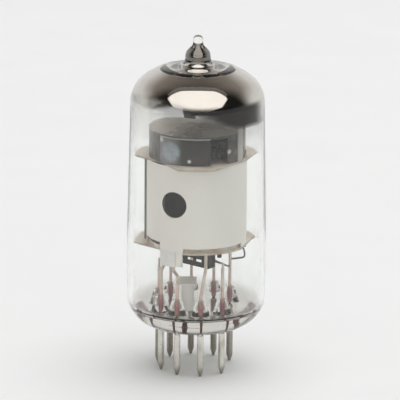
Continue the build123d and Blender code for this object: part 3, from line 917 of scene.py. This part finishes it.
# ---- Fine wires ----
def wire_piece(name, node, points, diameter, material, slot):
    """A round wire along a smooth curve through its places, with closed ends."""
    curve = [points[0]] + flowing([tuple(p) for p in points], 6)
    curve = [Vector(p) for p in curve]
    vertices, faces = [], []
    side = None
    for k, point in enumerate(curve):
        run = (curve[min(k + 1, len(curve) - 1)] - curve[max(k - 1, 0)]).normalized()
        if side is None:
            side = run.orthogonal().normalized()
        side = (side - run * side.dot(run)).normalized()
        other = run.cross(side)
        for j in range(WIRE_STEPS):
            turn = 2 * math.pi * j / WIRE_STEPS
            around = side * math.cos(turn) + other * math.sin(turn)
            vertices.append(tuple(point + around * diameter / 2))
    for k in range(len(curve) - 1):
        for j in range(WIRE_STEPS):
            after = (j + 1) % WIRE_STEPS
            low, high = k * WIRE_STEPS, (k + 1) * WIRE_STEPS
            faces.append((low + j, low + after, high + after, high + j))
    faces.append(tuple(reversed(range(WIRE_STEPS))))
    faces.append(tuple(range(len(vertices) - WIRE_STEPS, len(vertices))))
    return piece(name, vertices, faces, material, slot, (node,))


dark_wire = sheet_metal("dark_wire", (0.13, 0.12, 0.11), (0.24, 0.22, 0.20), 0.35)
fine_diameter = 0.3 * MM
lead_1 = pin_place(1)
tail_low = 16.8 * MM  # where the tail leaves lead 1
outward = polar(1, 10)
wire_piece(
    "curled_tail",
    "screen_wire_tail",
    [
        lead_1 + outward * 0.2 * MM + Vector((0, 0, tail_low)),
        lead_1 + outward * 1.1 * MM + Vector((0, 0, tail_low + 0.1 * MM)),
        polar(7.9 * MM, 26, tail_low + 0.5 * MM),
        polar(8.0 * MM, 29, tail_low + 1.5 * MM),
        polar(7.3 * MM, 26, tail_low + 2.35 * MM),
        polar(6.55 * MM, 22.5, tail_low + 2.6 * MM),
        polar(6.5 * MM, 22, lower_mica_low.z - 0.02 * MM),
    ],
    fine_diameter,
    dark_wire,
    "lead_nickel",
)
tie_low, tie_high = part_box("screen_grid_tie")
rod_foot = polar(3.4 * MM, 330)
inward = (rod_foot - lead_1).normalized()
wire_piece(
    "slanting_tie",
    "screen_grid_tie",
    [
        lead_1 + inward * 0.2 * MM + Vector((0, 0, tie_low.z + fine_diameter / 2)),
        lead_1 + inward * 1.1 * MM + Vector((0, 0, tie_low.z + fine_diameter / 2 + 0.25 * MM)),
        rod_foot - inward * 0.7 * MM + Vector((0, 0, tie_high.z - 0.9 * MM)),
        rod_foot + Vector((0, 0, tie_high.z)),
    ],
    fine_diameter,
    dark_wire,
    "lead_nickel",
)


# ---- Materials on the CAD pieces ----
black_metal = sheet_metal("black_metal", (0.022, 0.017, 0.011), (0.05, 0.038, 0.027), 0.6, 0.1)
coated_wire = sheet_metal("coated_wire", (0.78, 0.77, 0.74), (0.9, 0.89, 0.86), 0.7, 0.0, relief=0.3)
strap_metal = sheet_metal("strap_metal", (0.92, 0.885, 0.86), (0.96, 0.93, 0.91), 0.4, 0.1)
strip_metal = sheet_metal("strip_metal", (0.42, 0.40, 0.37), (0.52, 0.50, 0.47), 0.35, 0.4)
shadow_metal = sheet_metal("shadow_metal", (0.03, 0.027, 0.023), (0.09, 0.083, 0.073), 0.5, 0.3)
lead = lead_wire()

finishes = {
    "shield_strap": strap_metal,
    "stem_shield": strap_metal,
    "getter_strip": strip_metal,
    "screen_cap": cap_metal(),
    "cap_joint": plate_metal(),
    "anode": black_metal,
    "lower_bracket": black_metal,
    "cathode_sleeve": shadow_metal,
    "control_grid": shadow_metal,
    "screen_grid": shadow_metal,
    "suppressor_grid": shadow_metal,
    "heater": coated_wire,
}
for name, node in nodes.items():
    node.data.materials.clear()
    node.data.materials.append(finishes.get(name, lead))


# ---- Studio ----
VIEW_ELEVATION = math.radians(14.75)
VIEW_AZIMUTH = math.radians(10.78)
VIEW_ROLL = math.radians(0.507)
VIEW_DISTANCE = 0.5
LENS_MM = 289.4
SENSOR_MM = 36.0
SHIFT_RIGHT = 0.008
SHIFT_UP = -0.0175
TARGET = Vector((0, 0, 28 * MM))

floor_half = 3.0
floor_steps = 12
floor_points = [
    ((i / floor_steps - 0.5) * 2 * floor_half, (j / floor_steps - 0.5) * 2 * floor_half, 0.0)
    for i in range(floor_steps + 1) for j in range(floor_steps + 1)
]
row = floor_steps + 1
floor_faces = [
    (i * row + j, (i + 1) * row + j, (i + 1) * row + j + 1, i * row + j + 1)
    for i in range(floor_steps) for j in range(floor_steps)
]
floor_mesh = bpy.data.meshes.new("studio_floor")
floor_mesh.from_pydata(floor_points, [], floor_faces)
floor_mesh.materials.append(studio_floor())
floor = bpy.data.objects.new("studio_floor", floor_mesh)
bpy.context.scene.collection.objects.link(floor)

right = Vector((math.cos(VIEW_AZIMUTH), math.sin(VIEW_AZIMUTH), 0))
front = Vector((math.sin(VIEW_AZIMUTH), -math.cos(VIEW_AZIMUTH), 0))
upward = Vector((0, 0, 1))


def toward(elevation):
    """A direction in the camera's upright plane, at an angle above level towards the camera."""
    return front * math.cos(elevation) + upward * math.sin(elevation)


def softbox(name, elevation, half_angle, distance, strength, corners):
    """A many-cornered glowing panel that fills a half angle as the tube sees it.

    Mirrors and glass show it. It lights matt surfaces only through glass, and shades nothing.
    """
    centre = TARGET + toward(elevation) * distance
    rise = toward(elevation + math.pi / 2)
    reach = distance * math.tan(half_angle)
    points = [centre] + [
        centre + right * reach * math.cos(a) + rise * reach * math.sin(a)
        for a in [2 * math.pi * (k + 0.5) / corners for k in range(corners)]
    ]
    faces = [(0, 1 + k, 1 + (k + 1) % corners) for k in range(corners)]
    mesh = bpy.data.meshes.new(name)
    mesh.from_pydata([tuple(p) for p in points], [], faces)
    material = bpy.data.materials.new(name)
    material.use_nodes = True
    tree = material.node_tree
    tree.nodes.remove(tree.nodes["Principled BSDF"])
    glow = add(tree, "ShaderNodeEmission", Color=(1.0, 0.965, 0.92, 1.0), Strength=strength)
    tree.links.new(glow.outputs["Emission"], tree.nodes["Material Output"].inputs["Surface"])
    mesh.materials.append(material)
    panel = bpy.data.objects.new(name, mesh)
    panel.visible_diffuse = False
    panel.visible_shadow = False
    bpy.context.scene.collection.objects.link(panel)


softbox(
    "key_softbox",
    elevation=math.radians(58),
    half_angle=math.radians(43),
    distance=0.62,
    strength=1.5,
    corners=8,
)


def lamp(name, direction, distance, size, power, colour):
    """A soft area lamp aimed at the tube, which shows in no mirror and through no glass."""
    data = bpy.data.lights.new(name, "AREA")
    data.shape = "DISK"
    data.size = size
    data.energy = power
    data.color = colour
    made = bpy.data.objects.new(name, data)
    made.location = TARGET + direction * distance
    made.rotation_euler = direction.to_track_quat("Z", "Y").to_euler()
    made.visible_glossy = False
    made.visible_transmission = False
    made.visible_camera = False
    bpy.context.scene.collection.objects.link(made)


overhead_side = (upward - front * 0.08 + right * 0.10).normalized()
lamp("overhead", overhead_side, distance=1.6, size=1.6, power=19.0, colour=(1.0, 1.0, 1.0))


def studio_world():
    """An even pale room for matt surfaces. Mirrors and glass see one that is dark above."""
    world = bpy.data.worlds.new("studio")
    bpy.context.scene.world = world
    world.use_nodes = True
    tree = world.node_tree
    place = add(tree, "ShaderNodeTexCoord")
    parts = add(tree, "ShaderNodeSeparateXYZ")
    tree.links.new(place.outputs["Generated"], parts.inputs["Vector"])
    behind = add(tree, "ShaderNodeVectorMath", operation="DOT_PRODUCT")
    behind.inputs[1].default_value = tuple(-front)
    tree.links.new(place.outputs["Generated"], behind.inputs[0])
    front_tone = ramp(tree, parts.outputs["Z"], (
        (0.0, (0.95, 0.95, 0.94)), (0.08, (0.9, 0.9, 0.89)), (0.2, (0.02, 0.018, 0.016)),
        (0.8, (0.012, 0.011, 0.010)), (1.0, (0.10, 0.09, 0.08))))
    back_tone = ramp(tree, parts.outputs["Z"], (
        (0.0, (0.95, 0.95, 0.94)), (0.35, (0.88, 0.87, 0.85)), (0.66, (0.30, 0.27, 0.24)),
        (0.95, (0.13, 0.115, 0.10))))
    share = fade(tree, behind.outputs["Value"], -0.05, 0.55)
    seen = blend(tree, share, front_tone, back_tone)
    path = add(tree, "ShaderNodeLightPath")
    scattered = compute(tree, "GREATER_THAN", path.outputs["Diffuse Depth"], 0.5)
    tone = blend(tree, scattered, seen, (0.42, 0.42, 0.42))
    tree.links.new(tone, tree.nodes["Background"].inputs["Color"])


studio_world()

camera_data = bpy.data.cameras.new("camera")
camera_data.lens = LENS_MM
camera_data.sensor_width = SENSOR_MM
camera_data.clip_start = 0.01
camera_data.shift_x = SHIFT_RIGHT
camera_data.shift_y = SHIFT_UP
camera = bpy.data.objects.new("camera", camera_data)
back = toward(VIEW_ELEVATION)
up = back.cross(right)
rolled_right = right * math.cos(VIEW_ROLL) + up * math.sin(VIEW_ROLL)
rolled_up = back.cross(rolled_right)
camera.matrix_world = Matrix.Translation(TARGET + back * VIEW_DISTANCE) @ Matrix(
    (rolled_right, rolled_up, back)
).transposed().to_4x4()
bpy.context.scene.collection.objects.link(camera)
bpy.context.scene.camera = camera
bpy.context.scene.view_settings.view_transform = "Standard"
